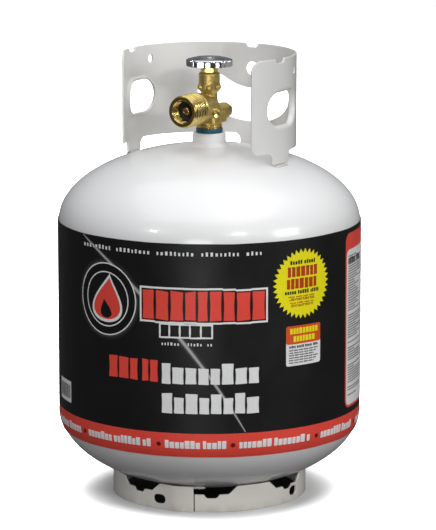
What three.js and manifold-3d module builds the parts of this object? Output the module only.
// A 20 lb propane cylinder: a two-piece welded steel vessel with a foot ring, a valve guard collar, a printed
// sleeve, and a brass valve with a quick-connect outlet, a relief valve, a bleed screw and an overfill float.
// Millimetres, +Z up. The origin is on the floor under the vessel's axis. The valve's outlet points to -Y.
import * as THREE from "three";
import { mergeVertices } from "three/addons/utils/BufferGeometryUtils.js";
import Module from "manifold-3d";

const wasm = await Module();
wasm.setup();
const { Manifold, Mesh: SolidMesh } = wasm;

// ---- Driving dimensions ----------------------------------------------------------------------------------
const GAP = 0.3; // left between pieces that touch
const FACETS = 40; // facets round the vessel, a multiple of 4 so that its box is symmetric

const VESSEL_R = 154.6; // outside radius of the steel
const HEAD_H = VESSEL_R / 2; // both heads are 2:1 half ellipsoids
const WALL = 2;
const UPPER_TANGENT = 284; // height where the upper head starts
const LOWER_TANGENT = 87; // height where the lower head starts
const JOINT_Z = 190; // height of the girth weld
const JOGGLE = 13; // how far the lower shell reaches into the upper one

const SLEEVE_BOTTOM = 70;
const SLEEVE_TOP = 286;
const SLEEVE_T = 0.6;

const SPUD_R = 17;
const SPUD_BORE = 13.4;
const SPUD_TOP = 374;

const COLLAR_R = 89; // outside radius of the valve guard
const COLLAR_T = 2.4;
const COLLAR_TOP = 456;
const COLLAR_EDGE = 361; // lower edge between the legs
const COLLAR_HALF = 121; // degrees each way from the back
const LEG_FOOT = 349.4; // lowest point of the legs at the collar's outside
const LEG_ANGLES = [0, 94.5, -94.5]; // degrees from the back
const LEG_HALF = 9;

const FOOT_R = 98.6; // middle of the foot ring's sheet
const FOOT_T = 2.2;
const FOOT_H = 26.2;
const FOOT_SEAM = -68.5; // degrees, where the outer end of the lap joint stops
const FOOT_LAP = 8; // degrees of overlap

const OUTLET_Z = 401; // the outlet's axis: the valve group is placed here
const OUTLET_FACE = 54; // outlet face from the valve's axis
const OUTLET_R = 16.6; // 1-5/16 in thread
const OUTLET_BORE = 11.3;
const BORE_FLOOR = 25; // where the outlet bore stops, from the valve's axis
const STEM_LIFT = 3.5; // travel of the seat, which its surroundings leave room for

// ---- Colours ---------------------------------------------------------------------------------------------
const finish = (color, roughness, metalness) =>
  new THREE.MeshStandardMaterial({ color, roughness, metalness });
const whitePaint = finish(0xf1f1ef, 0.3, 0);
const collarPaint = finish(0xd9d8d3, 0.35, 0);
const footPaint = finish(0xd3d0c8, 0.4, 0);
const sleevePrint = finish(0x222123, 0.35, 0);
const brass = finish(0xb8923c, 0.3, 1);
const chrome = finish(0xb9bcc2, 0.15, 1);
const steel = finish(0x9a9a9a, 0.35, 1);
const sealant = finish(0x12677a, 0.5, 0);
const rubber = finish(0x161616, 0.7, 0);
const plastic = finish(0xe8e4d6, 0.5, 0);

// ---- Tools -----------------------------------------------------------------------------------------------
const rad = (degrees) => (degrees * Math.PI) / 180;
const vec = (x, y, z) => new THREE.Vector3(x, y, z);
const range = (n) => [...Array(n).keys()];
const polar = (r, degrees) => [r * Math.cos(rad(degrees)), r * Math.sin(rad(degrees))];

// A closed three.js geometry as a solid whose faces point out.
function solid(geometry) {
  const loose = geometry.index ? geometry.toNonIndexed() : geometry;
  const bare = new THREE.BufferGeometry().setAttribute("position", loose.getAttribute("position"));
  const merged = mergeVertices(bare, 1e-4);
  const index = merged.index.array;
  const faces = [];
  for (let i = 0; i < index.length; i += 3) {
    const [a, b, c] = [index[i], index[i + 1], index[i + 2]];
    if (a !== b && b !== c && c !== a) faces.push([a, b, c]);
  }
  const build = (triangles) =>
    new Manifold(
      new SolidMesh({
        numProp: 3,
        vertProperties: merged.attributes.position.array,
        triVerts: new Uint32Array(triangles.flat()),
      }),
    );
  const made = build(faces);
  return made.volume() > 0 ? made : build(faces.map(([a, b, c]) => [a, c, b]));
}

const join = (first, ...others) => others.reduce((whole, one) => whole.add(one), first);
const cut = (first, ...others) => others.reduce((whole, one) => whole.subtract(one), first);

// A body of revolution about Z, from [radius, height] points that start and end on the axis.
function turned(points, segments = 24) {
  const profile = points.map(([r, z]) => new THREE.Vector2(r, z));
  return solid(new THREE.LatheGeometry(profile, segments).rotateX(Math.PI / 2));
}

// A ring of revolution about Z, from [radius, height] points round its section.
const ring = (points, segments = 24) => turned([...points, points[0]], segments);

// A plain tube about Z.
const tube = (inner, outer, z0, z1, segments = 24) =>
  ring([[inner, z0], [outer, z0], [outer, z1], [inner, z1]], segments);

// A straight prism of an outline in XY, from z0 to z1.
function prism(shape, z0, z1, curveSegments = 12) {
  const options = { depth: z1 - z0, bevelEnabled: false, curveSegments };
  return solid(new THREE.ExtrudeGeometry(shape, options).translate(0, 0, z0));
}

// A prism that runs straight out from the Z axis at an angle in degrees, from radius r0 to r1. Its outline's
// x runs round the axis, anticlockwise from above, and its y runs up from height z.
function radialPrism(shape, angle, r0, r1, z = 0, curveSegments = 4) {
  const out = vec(Math.cos(rad(angle)), Math.sin(rad(angle)), 0);
  const round = vec(-out.y, out.x, 0);
  const place = new THREE.Matrix4().makeBasis(round, vec(0, 0, 1), out);
  place.setPosition(out.x * r0, out.y * r0, z);
  const options = { depth: r1 - r0, bevelEnabled: false, curveSegments };
  return solid(new THREE.ExtrudeGeometry(shape, options).applyMatrix4(place));
}

// A cylinder or cone between two points.
function rod(from, to, startR, endR = startR, segments = 16) {
  const axis = to.clone().sub(from);
  const length = axis.length();
  const geometry = new THREE.CylinderGeometry(endR, startR, length, segments).translate(0, length / 2, 0);
  const turn = new THREE.Quaternion().setFromUnitVectors(vec(0, 1, 0), axis.normalize());
  return solid(geometry.applyQuaternion(turn).translate(from.x, from.y, from.z));
}

function box(x0, x1, y0, y1, z0, z1) {
  const geometry = new THREE.BoxGeometry(x1 - x0, y1 - y0, z1 - z0);
  return solid(geometry.translate((x0 + x1) / 2, (y0 + y1) / 2, (z0 + z1) / 2));
}

// A body of revolution about Z, turned to lie along a direction from a point.
function along(direction, origin, made) {
  const turn = new THREE.Quaternion().setFromUnitVectors(vec(0, 0, 1), direction);
  const matrix = new THREE.Matrix4().compose(origin, turn, vec(1, 1, 1));
  return made.transform(matrix.toArray());
}

function polygon(points) {
  return new THREE.Shape(points.map(([x, y]) => new THREE.Vector2(x, y)));
}

// A slot with round ends, of the given overall size, centred on the origin.
function stadium(width, height) {
  const r = Math.min(width, height) / 2;
  const [dx, dy] = [width / 2 - r, height / 2 - r];
  const shape = new THREE.Shape();
  if (dx >= dy) {
    shape.absarc(dx, 0, r, -Math.PI / 2, Math.PI / 2);
    shape.absarc(-dx, 0, r, Math.PI / 2, 1.5 * Math.PI);
  } else {
    shape.absarc(0, dy, r, 0, Math.PI);
    shape.absarc(0, -dy, r, Math.PI, 2 * Math.PI);
  }
  return shape;
}

// A regular hexagon, by its width across the flats.
const hexagon = (flats) =>
  polygon(range(6).map((i) => polar(flats / 2 / Math.cos(rad(30)), i * 60 + 30)));

// Part of a tube about Z between two angles in degrees.
function sector(inner, outer, from, to, z0, z1) {
  const shape = new THREE.Shape();
  shape.absarc(0, 0, outer, rad(from), rad(to), false);
  shape.absarc(0, 0, inner, rad(to), rad(from), true);
  return prism(shape, z0, z1, Math.max(3, Math.ceil((to - from) / 7.5)));
}

// A coil spring about Z with closed ends left plain.
function coil(radius, wire, turns, height) {
  class Helix extends THREE.Curve {
    getPoint(t, target = vec(0, 0, 0)) {
      const a = t * turns * 2 * Math.PI;
      return target.set(radius * Math.cos(a), radius * Math.sin(a), wire + t * (height - 2 * wire));
    }
  }
  const section = polygon(range(4).map((i) => polar(wire, i * 90)));
  const options = { extrudePath: new Helix(), steps: turns * 9, curveSegments: 1, bevelEnabled: false };
  return solid(new THREE.ExtrudeGeometry(section, options));
}

// A short weld bead along an arc about Z.
function bead(radius, z, middle, halfDegrees, thickness) {
  class Arc extends THREE.Curve {
    getPoint(t, target = vec(0, 0, 0)) {
      const a = rad(middle + (2 * t - 1) * halfDegrees);
      return target.set(radius * Math.cos(a), radius * Math.sin(a), z);
    }
  }
  const section = polygon(range(6).map((i) => polar(thickness, i * 60)));
  const options = { extrudePath: new Arc(), steps: 5, curveSegments: 1, bevelEnabled: false };
  return solid(new THREE.ExtrudeGeometry(section, options));
}

const assembly = new THREE.Group();

// A solid as a named mesh in a group.
function piece(name, made, material, parent = assembly) {
  const flat = made.getMesh();
  const geometry = new THREE.BufferGeometry();
  const positions = new Float32Array(flat.numVert * 3);
  for (let i = 0; i < flat.numVert; i++) {
    positions.set(flat.vertProperties.subarray(i * flat.numProp, i * flat.numProp + 3), i * 3);
  }
  geometry.setAttribute("position", new THREE.BufferAttribute(positions, 3));
  geometry.setIndex(new THREE.BufferAttribute(flat.triVerts, 1));
  geometry.computeVertexNormals();
  const mesh = new THREE.Mesh(geometry, material);
  mesh.name = name;
  parent.add(mesh);
  return mesh;
}

// ---- Vessel ----------------------------------------------------------------------------------------------
// Points on a half ellipsoid head, offset inwards, from the tangent line to a given radius.
function headPoints(inset, endR, count, centre, sign) {
  const [a, b] = [VESSEL_R - inset, HEAD_H - inset];
  const last = Math.acos(endR / a);
  return range(count).map((i) => {
    const t = (last * i) / (count - 1);
    return [a * Math.cos(t), centre + sign * b * Math.sin(t)];
  });
}

const headHole = SPUD_R + GAP;
piece(
  "upper_head",
  ring(
    [
      [VESSEL_R, JOINT_Z + 1],
      ...headPoints(0, headHole, 8, UPPER_TANGENT, 1),
      ...headPoints(WALL, headHole, 8, UPPER_TANGENT, 1).reverse(),
      [VESSEL_R - WALL, JOINT_Z + 1],
    ],
    FACETS,
  ),
  whitePaint,
);

// The lower shell steps in at the joint and reaches up inside the upper one.
const joggleR = VESSEL_R - WALL - GAP;
piece(
  "lower_head",
  turned(
    [
      ...headPoints(0, 0, 8, LOWER_TANGENT, -1).reverse(),
      [VESSEL_R, JOINT_Z - 3],
      [joggleR, JOINT_Z],
      [joggleR, JOINT_Z + JOGGLE],
      [joggleR - WALL, JOINT_Z + JOGGLE],
      [joggleR - WALL, JOINT_Z - 1],
      [VESSEL_R - WALL, JOINT_Z - 4],
      ...headPoints(WALL, 0, 8, LOWER_TANGENT, -1),
    ],
    FACETS,
  ),
  whitePaint,
);

piece(
  "girth_weld",
  ring(
    [
      [VESSEL_R, JOINT_Z - 2.6],
      [VESSEL_R, JOINT_Z + 0.7],
      [joggleR + GAP, JOINT_Z + 0.7],
      [joggleR + GAP, JOINT_Z + 0.1],
    ],
    FACETS,
  ),
  whitePaint,
);

piece("valve_spud", tube(SPUD_BORE, SPUD_R, 350.5, SPUD_TOP), whitePaint);
const spudWeldZ = 361.5;
piece(
  "spud_weld",
  ring([[SPUD_R + GAP, spudWeldZ], [21.6, spudWeldZ - 0.2], [20, 363.2], [18, 365], [SPUD_R + GAP, 365.3]]),
  whitePaint,
);

// ---- Printed sleeve --------------------------------------------------------------------------------------
// It follows the shell and turns a little way round both heads.
function shellRadius(z) {
  const past = Math.max(z - UPPER_TANGENT, LOWER_TANGENT - z, 0) / HEAD_H;
  return VESSEL_R * Math.sqrt(1 - past * past);
}
const sleeveHeights = [SLEEVE_BOTTOM, 76, LOWER_TANGENT, UPPER_TANGENT, SLEEVE_TOP];
piece(
  "label_sleeve",
  ring(
    [
      ...sleeveHeights.map((z) => [shellRadius(z) + GAP + SLEEVE_T, z]),
      ...sleeveHeights.map((z) => [shellRadius(z) + GAP, z]).reverse(),
    ],
    FACETS,
  ),
  sleevePrint,
);

// ---- Foot ring -------------------------------------------------------------------------------------------
// One rolled strip whose end steps out and laps over its start. r is the middle of the sheet at each angle.
const footStart = FOOT_SEAM - FOOT_LAP;
const footEnd = FOOT_SEAM + 360;
function footRadius(angle) {
  const step = FOOT_T + GAP;
  const t = THREE.MathUtils.smoothstep(angle, footEnd - FOOT_LAP - 12, footEnd - FOOT_LAP - 2);
  return FOOT_R + step * t;
}
const footAngles = range(65).map((i) => footStart + ((footEnd - footStart) * i) / 64);
const footEdge = (side) => footAngles.map((a) => polar(footRadius(a) + (side * FOOT_T) / 2, a));
const footStrip = prism(polygon([...footEdge(1), ...footEdge(-1).reverse()]), 0, FOOT_H);

// Scallops in its upper edge, with a small dip in the middle of each, and oval drain holes between them.
const SCALLOP_FIRST = -58;
const SCALLOP_PITCH = 52.1;
const scallopShape = new THREE.Shape();
scallopShape.moveTo(-26.5, 28);
scallopShape.lineTo(-26.5, 26.5);
scallopShape.lineTo(-17.5, 18);
scallopShape.lineTo(-7.5, 18);
scallopShape.quadraticCurveTo(-6, 14, 0, 14);
scallopShape.quadraticCurveTo(6, 14, 7.5, 18);
scallopShape.lineTo(17.5, 18);
scallopShape.lineTo(26.5, 26.5);
scallopShape.lineTo(26.5, 28);
const insideLap = FOOT_R + FOOT_T / 2 + GAP / 2; // just outside the strip's start, inside the lap over it
const scallops = range(7).map((i) =>
  radialPrism(scallopShape, SCALLOP_FIRST + i * SCALLOP_PITCH, 88, i === 0 ? insideLap : 108, 0, 3),
);
const drains = range(4).map((i) => radialPrism(stadium(14, 9.5), i * 90, 90, 110, 10.5, 3));
piece("foot_ring", cut(footStrip, ...scallops, ...drains), footPaint);

range(4).forEach((i) => {
  piece(`foot_weld_${i + 1}`, bead(95.2, 23, 22 + i * 90, 6, 1.5), footPaint);
});

// ---- Valve guard collar ----------------------------------------------------------------------------------
// Angles on the collar are measured from its back, which is at +Y.
const BACK = 90;
const collarInner = COLLAR_R - COLLAR_T;
const across = (degrees) => COLLAR_R * Math.sin(rad(degrees)); // sideways from a cutter's middle
const wall = sector(collarInner, COLLAR_R, BACK - COLLAR_HALF, BACK + COLLAR_HALF, LEG_FOOT, COLLAR_TOP);

// What is cut away below the edge between two angles, with round upper corners.
const SHOULDER = 7;
function underEdge(from, to) {
  const inset = THREE.MathUtils.radToDeg(SHOULDER / COLLAR_R);
  const corners = [from + inset, to - inset].map((a) =>
    radialPrism(stadium(2 * SHOULDER, 2 * SHOULDER), BACK + a, 80, 95, COLLAR_EDGE - SHOULDER),
  );
  return join(
    sector(80, 95, BACK + from + inset, BACK + to - inset, LEG_FOOT - 2, COLLAR_EDGE),
    sector(80, 95, BACK + from, BACK + to, LEG_FOOT - 2, COLLAR_EDGE - SHOULDER),
    ...corners,
  );
}
const legEdge = LEG_ANGLES[1];
const gapsUnder = [
  underEdge(LEG_HALF, legEdge - LEG_HALF),
  underEdge(LEG_HALF - legEdge, -LEG_HALF),
  underEdge(legEdge + LEG_HALF, COLLAR_HALF + 8),
  underEdge(-COLLAR_HALF - 8, -legEdge - LEG_HALF),
];

// A corner of the sheet's end rounded off. side is 1 at the end that is anticlockwise from the back.
function roundedCorner(side, top, radius) {
  const [x, y] = [side * radius, top ? -radius : radius];
  const shape = new THREE.Shape();
  shape.moveTo(-x * 0.02, 0);
  shape.lineTo(x * 1.2, 0);
  shape.lineTo(x * 1.2, -y * 0.2);
  shape.lineTo(-x * 0.02, -y * 0.2);
  const block = polygon([[0, -y * 0.1], [x * 1.1, -y * 0.1], [x * 1.1, y], [0, y]]);
  const at = BACK + side * (COLLAR_HALF - THREE.MathUtils.radToDeg(radius / COLLAR_R));
  const z = top ? COLLAR_TOP : COLLAR_EDGE;
  const disc = radialPrism(stadium(2 * radius, 2 * radius), at, 78, 97, z + y);
  return radialPrism(block, at, 79, 96, z).subtract(disc);
}
const corners = [1, -1].flatMap((side) => [roundedCorner(side, true, 12), roundedCorner(side, false, 9)]);

// Hand holes at both sides, a curved window at the back, and the small openings near the rim.
const HAND_W = 2 * across(17.5);
const HAND_H = 33.5;
const HAND_Z = 404.8;
const handHole = (side, grow) =>
  radialPrism(stadium(HAND_W + grow, HAND_H + grow), BACK + side * 90, 70, 95, HAND_Z);
const WINDOW_W = 2 * across(40.5); // its width, seen straight on
const WINDOW_H = 35;
const WINDOW_SAG = 14; // how far its middle hangs below its ends
const WINDOW_Z = 391.4; // height of its middle
const windowShape = (() => {
  const [half, r] = [WINDOW_W / 2 - WINDOW_H / 2, WINDOW_H / 2];
  const bend = (half * half + WINDOW_SAG * WINDOW_SAG) / (2 * WINDOW_SAG);
  const open = Math.asin(half / bend);
  const shape = new THREE.Shape();
  shape.absarc(0, bend, bend + r, -Math.PI / 2 - open, -Math.PI / 2 + open, false);
  shape.absarc(half, WINDOW_SAG, r, -Math.PI / 2 + open, Math.PI / 2 + open, false);
  shape.absarc(0, bend, bend - r, -Math.PI / 2 + open, -Math.PI / 2 - open, true);
  shape.absarc(-half, WINDOW_SAG, r, Math.PI / 2 - open, 1.5 * Math.PI - open, false);
  return shape;
})();
const notch = stadium(14, 9);
const rimNotches = [0, 96, -96].map((a) => radialPrism(notch, BACK + a, 80, 95, COLLAR_TOP + 0.2, 4));
const tagSlots = [75, -75].map((a) => radialPrism(stadium(6, 8.5), BACK + a, 80, 95, 441.5, 4));
const lockHole = radialPrism(stadium(14.4, 14.4), BACK, 80, 95, 429.3, 6);
const backWindow = radialPrism(windowShape, BACK, 55, 95, WINDOW_Z, 6);

// Each hand hole has a lip turned inwards, as deep as LIP from the outside face.
const LIP = 6;
const lipWall = (side) => {
  const sleeve = handHole(side, 2 * COLLAR_T).subtract(handHole(side, 0));
  const middle = BACK + side * 90;
  const depth = sector(COLLAR_R - LIP, COLLAR_R - COLLAR_T / 2, middle - 25, middle + 25, 380, 430);
  return sleeve.intersect(depth);
};
const sheet = cut(wall, ...gapsUnder, ...corners, ...rimNotches, ...tagSlots, lockHole, backWindow);
const collar = cut(join(sheet, lipWall(1), lipWall(-1)), handHole(1, 0), handHole(-1, 0));
piece("collar", collar, collarPaint);

LEG_ANGLES.forEach((a, i) => {
  const name = ["back", "left", "right"][i];
  piece(`collar_weld_${name}`, bead(COLLAR_R + 2.2, 348.9, BACK + a, 5.5, 1.5), collarPaint);
});

// ---- Valve: body -----------------------------------------------------------------------------------------
// The valve group's origin is where the outlet's axis crosses the stem's axis.
const valve = new THREE.Group();
valve.position.z = OUTLET_Z;
assembly.add(valve);

const NECK_R = 12.9;
const NECK_FOOT = -48;
const BASE_Z = -17; // underside of the square base
const BASE_TOP = -5.5;
const BASE_HALF = 13.5;
const CUP_TOP = 34.5;
const CUP_R = 10.9;
const RELIEF_Z = -8.5;
const BLEED_Z = -6;
const BLEED_SIDE = vec(Math.cos(rad(-38)), Math.sin(rad(-38)), 0); // the way the bleed screw points
const DIP_REACH = 9.7; // dip tube's distance from the valve's axis, under the bleed screw
const forwards = (distance, z = 0) => vec(0, -distance, z); // a point towards the outlet
const backwards = (distance) => vec(0, distance, RELIEF_Z); // a point towards the relief valve
const sideways = (distance, z = BLEED_Z) => BLEED_SIDE.clone().multiplyScalar(distance).setZ(z);

const squareBase = () => {
  const c = BASE_HALF - 3;
  const shape = new THREE.Shape();
  [[c, c, 0], [-c, c, 90], [-c, -c, 180], [c, -c, 270]].forEach(([x, y, a]) => {
    shape.absarc(x, y, 3, rad(a), rad(a + 90), false);
  });
  return prism(shape, BASE_Z, BASE_TOP, 3);
};
const lugs = range(6).map((i) => {
  const a = rad(i * 60 - 60);
  const [x, y] = [Math.cos(a), Math.sin(a)];
  return rod(vec(9 * x, 9 * y, 19.3), vec(13 * x, 13 * y, 19.3), 3, 1.8, 6);
});
const bodyOutside = join(
  turned(
    [
      [0, NECK_FOOT],
      [NECK_R - 1, NECK_FOOT],
      [NECK_R, NECK_FOOT + 1.5],
      [NECK_R, BASE_Z + 0.2],
      [12, BASE_TOP + 2],
      [9.2, 4],
      [8.4, 9],
      [8.4, 14],
      [CUP_R, 17],
      [CUP_R, CUP_TOP - 1.2],
      [CUP_R - 1.2, CUP_TOP],
      [0, CUP_TOP],
    ],
    20,
  ),
  squareBase(),
  rod(forwards(0), forwards(20), 12, 12.5),
  rod(forwards(17.5), forwards(28), 15.2, 15.2, 24),
  rod(forwards(27), forwards(OUTLET_FACE - 1), OUTLET_R, OUTLET_R, 24),
  rod(forwards(OUTLET_FACE - 1.2), forwards(OUTLET_FACE), OUTLET_R, OUTLET_R - 1.2, 24),
  rod(backwards(0), backwards(30), 8.8, 8.8),
  rod(sideways(8), sideways(18), 5.4, 5),
  ...lugs,
);
const valvePassages = join(
  rod(vec(0, 0, 1.5), vec(0, 0, 40), 6.6, 6.6), // stem chamber
  rod(vec(0, 0, -6), vec(0, 0, 4), 3, 3, 16), // seat orifice
  rod(vec(0, 0, -60), vec(0, 0, -4.5), 6.5, 6.5), // inlet
  rod(forwards(4, 5), forwards(30, 5), 3.5, 3.5, 16), // to the outlet
  rod(backwards(2), backwards(14), 3.2, 3.2, 16), // to the relief valve
  rod(backwards(12), backwards(40), 6.3, 6.3),
  rod(sideways(DIP_REACH, -60), sideways(DIP_REACH), 1.75, 1.75, 12), // dip tube
  rod(sideways(DIP_REACH), sideways(12), 0.9, 0.9, 8), // to the bleed screw
  rod(sideways(11.5), sideways(30), 2.9, 2.9, 16),
);
const outletBore = join(
  rod(forwards(BORE_FLOOR), forwards(70), OUTLET_BORE, OUTLET_BORE, 24),
  rod(forwards(OUTLET_FACE - 1.6), forwards(OUTLET_FACE + 0.4), OUTLET_BORE, 13.3, 24),
);
piece("valve_body", cut(bodyOutside, valvePassages, outletBore), brass, valve);
piece("thread_sealant", tube(NECK_R + 0.3, NECK_R + 0.9, -26.7, -22.4, 28), sealant, valve);

// ---- Valve: stem and handwheel ---------------------------------------------------------------------------
const hexNut = prism(hexagon(15), CUP_TOP + 0.3, 39.2, 1);
const glandThread = rod(vec(0, 0, 26), vec(0, 0, 36), 6.3);
const glandNut = cut(join(hexNut, glandThread), rod(vec(0, 0, 20), vec(0, 0, 50), 3.3));
piece("gland_nut", glandNut, brass, valve);
piece("stem_packing", tube(3.3, 6.2, 24.7, 25.7, 24), rubber, valve);

const STEM_R = 3;
const upperStem = cut(
  join(
    rod(vec(0, 0, 19.2), vec(0, 0, 46.7), STEM_R, STEM_R, 20),
    rod(vec(0, 0, 22), vec(0, 0, 24.4), 5.6, 5.6, 20),
    box(-2.7, 2.7, -0.8, 0.8, 10.6, 19.6),
  ),
  rod(vec(0, 0, 37), vec(0, 0, 60), 2.2, 2.2, 16),
);
piece("upper_stem", upperStem, brass, valve);

const slotFloor = 10.6 - STEM_LIFT - 0.5;
const lowerStem = cut(
  rod(vec(0, 0, 5.5), vec(0, 0, 15), 5.8, 5.8),
  box(-9, 9, -1.2, 1.2, slotFloor, 20),
);
piece("lower_stem", lowerStem, brass, valve);
piece("seat_disc", rod(vec(0, 0, 1.8), vec(0, 0, 5.2), 4.6, 4.6, 20), rubber, valve);

// The wheel is a round cap with three smooth hollows in its rim, for fingers.
const WHEEL_R = 24;
const wheelRadius = (a) => {
  // 0 in the middle of a lobe, 60 in the middle of a hollow.
  const fromLobe = Math.abs(THREE.MathUtils.euclideanModulo(a, 120) - 60);
  return WHEEL_R - 2.6 * THREE.MathUtils.smoothstep(fromLobe, 22, 48);
};
const wheelOutline = (inset) =>
  polygon(range(48).map((i) => polar(wheelRadius(i * 7.5 + 60) - inset, i * 7.5)));
const handwheel = cut(
  join(
    cut(prism(wheelOutline(0), 41, 48.6), prism(wheelOutline(2.6), 40, 45.6)),
    rod(vec(0, 0, 40.2), vec(0, 0, 47), 7.5, 8.5),
  ),
  rod(vec(0, 0, 30), vec(0, 0, 60), STEM_R + GAP, STEM_R + GAP, 20),
  rod(vec(0, 0, 46.9), vec(0, 0, 60), 8, 9.5, 28),
);
piece("handwheel", handwheel, chrome, valve);
piece("handwheel_washer", tube(2.4, 6, 47.2, 48.1, 24), steel, valve);
const wheelScrew = cut(
  join(rod(vec(0, 0, 38), vec(0, 0, 49), 1.9, 1.9, 16), rod(vec(0, 0, 48.4), vec(0, 0, 50.4), 4.2, 3.4, 20)),
  box(-6, 6, -0.5, 0.5, 49.6, 52),
);
piece("handwheel_screw", wheelScrew, steel, valve);

// ---- Valve: outlet check ---------------------------------------------------------------------------------
const OUT = vec(0, -1, 0);
const outlet = (made) => along(OUT, vec(0, 0, 0), made);
const outletSeal = ring([[5.2, 38], [11, 38], [11, 41.5], [8.6, 41.5], [5.2, 40]]);
piece("outlet_seal", outlet(outletSeal), rubber, valve);
const plunger = outlet(
  turned([[0, 35.4], [7, 35.4], [7, 37.6], [4.6, 37.6], [4.6, 44.6], [3.2, 46.4], [0, 46.4]], 24),
);
piece("check_plunger", plunger, brass, valve);
piece("check_spring", along(OUT, forwards(BORE_FLOOR + GAP), coil(5.6, 0.45, 4, 9.8)), steel, valve);

// ---- Valve: relief valve ---------------------------------------------------------------------------------
const IN_BACK = vec(0, 1, 0);
const relief = (made) => along(IN_BACK, vec(0, 0, RELIEF_Z), made);
piece("relief_seal", relief(rod(vec(0, 0, 12.3), vec(0, 0, 13.6), 5, 5, 20)), rubber, valve);
const poppet = turned([[0, 13.9], [5.8, 13.9], [5.8, 17.4], [2, 17.4], [2, 22], [0, 22]], 20);
piece("relief_poppet", relief(poppet), brass, valve);
piece("relief_spring", along(IN_BACK, backwards(17.7), coil(4.3, 0.6, 4, 9.4)), steel, valve);
const plug = cut(
  join(rod(vec(0, 0, 27.5), vec(0, 0, 31), 6, 6), prism(hexagon(14.2), 30.3, 34.2, 1)),
  rod(vec(0, 0, 20), vec(0, 0, 40), 2.6, 2.6, 16),
);
piece("relief_plug", relief(plug), brass, valve);

// ---- Valve: bleed screw and dip tube ---------------------------------------------------------------------
const bleed = (made) => along(BLEED_SIDE, sideways(0), made);
const needle = turned([[0, 11.9], [0.7, 11.9], [2.4, 12.8], [2.4, 13.9], [0, 13.9]], 16);
piece("bleed_needle", bleed(needle), steel, valve);
const bleedScrew = cut(
  join(rod(vec(0, 0, 14.2), vec(0, 0, 19), 2.6), rod(vec(0, 0, 18.3), vec(0, 0, 21.3), 3.7, 3.5)),
  box(-6, 6, -0.5, 0.5, 20.2, 25),
);
piece("bleed_screw", bleed(bleedScrew), brass, valve);
const dipTube = along(vec(0, 0, 1), sideways(DIP_REACH, 0), tube(0.8, 1.45, -129, -40, 12));
piece("dip_tube", dipTube, brass, valve);

// ---- Overfill device -------------------------------------------------------------------------------------
// The float's cam lifts the plunger, whose seal closes the passage through the top of the housing.
const OPD_SEAT = -54.6; // the seal closes here
const OPD_FOOT = -83;
const PIVOT_Z = -91;
const CAM_R = 4.2;
const CAM_LIFT = 2.5; // the seal's travel
const CAM_TURN = 60; // degrees of float swing that raise the seal onto its seat
const HANG = 10; // degrees from plumb at which the empty float rests

const opdTube = turned(
  [
    [0, OPD_FOOT],
    [7.6, OPD_FOOT],
    [7.6, NECK_FOOT - GAP],
    [6.2, NECK_FOOT - GAP],
    [6.2, -40],
    [0, -40],
  ],
  24,
);
const ears = [-6.4, 4].map((y) => box(-4, 4, y, y + 2.4, PIVOT_Z - 4, OPD_FOOT + 1));
const opdHousing = cut(
  join(opdTube, ...ears),
  rod(vec(0, 0, -82), vec(0, 0, OPD_SEAT), 5, 5, 20),
  rod(vec(0, 0, -90), vec(0, 0, -81.9), 5, 5, 20),
  rod(vec(0, 0, -60), vec(0, 0, -30), 3, 3, 16),
  rod(vec(0, -20, -56), vec(0, 20, -56), 1.3, 1.3, 12),
  rod(vec(-20, 0, -56), vec(20, 0, -56), 1.3, 1.3, 12),
  rod(vec(0, -20, PIVOT_Z), vec(0, 20, PIVOT_Z), 1.6, 1.6, 12),
);
piece("opd_housing", opdHousing, plastic, valve);
piece("opd_seal", rod(vec(0, 0, -59.7), vec(0, 0, -57.4), 4.4, 4.4, 20), rubber, valve);
const opdPlunger = turned(
  [[0, -86.4], [0.4, -86.4], [2.6, -84.2], [2.6, -81.8], [4.6, -81.8], [4.6, -60], [0, -60]],
  20,
);
piece("opd_plunger", opdPlunger, plastic, valve);
piece("float_pin", rod(vec(0, -7, PIVOT_Z), vec(0, 7, PIVOT_Z), 1.3, 1.3, 12), steel, valve);

// The float and its arm are modelled pointing up from the pin, and hang from it turned over.
const floatArm = new THREE.Group();
floatArm.position.z = PIVOT_Z;
floatArm.rotation.y = rad(180 + HANG);
valve.add(floatArm);

function camRadius(degrees) {
  // How far the float swings until this point of the cam is on top.
  const before = THREE.MathUtils.euclideanModulo(180 - HANG - degrees, 360);
  if (before <= CAM_TURN) return CAM_R + (CAM_LIFT * before) / CAM_TURN;
  if (before <= 1.6 * CAM_TURN) return CAM_R + CAM_LIFT * (1 - (before - CAM_TURN) / (0.6 * CAM_TURN));
  return CAM_R;
}
const camPoints = range(36).map((i) => {
  const a = i * 10;
  return [camRadius(a) * Math.sin(rad(a)), camRadius(a) * Math.cos(rad(a))];
});
const cam = radialPrism(polygon(camPoints), -90, -3.4, 3.4);
const armRod = rod(vec(0, 0, 2), vec(0, 0, 77), 1.5, 1.5, 12);
const armStops = [21.6, 74.4].map((z) => rod(vec(0, 0, z), vec(0, 0, z + 2), 3, 3, 16));
const pinHole = rod(vec(0, -20, 0), vec(0, 20, 0), 1.6, 1.6, 12);
piece("float_arm", cut(join(cam, armRod, ...armStops), pinHole), plastic, floatArm);
piece(
  "float",
  ring([[1.8, 24], [7.5, 24], [10.5, 27], [10.5, 71], [7.5, 74], [1.8, 74]], 24),
  rubber,
  floatArm,
);

export default assembly;
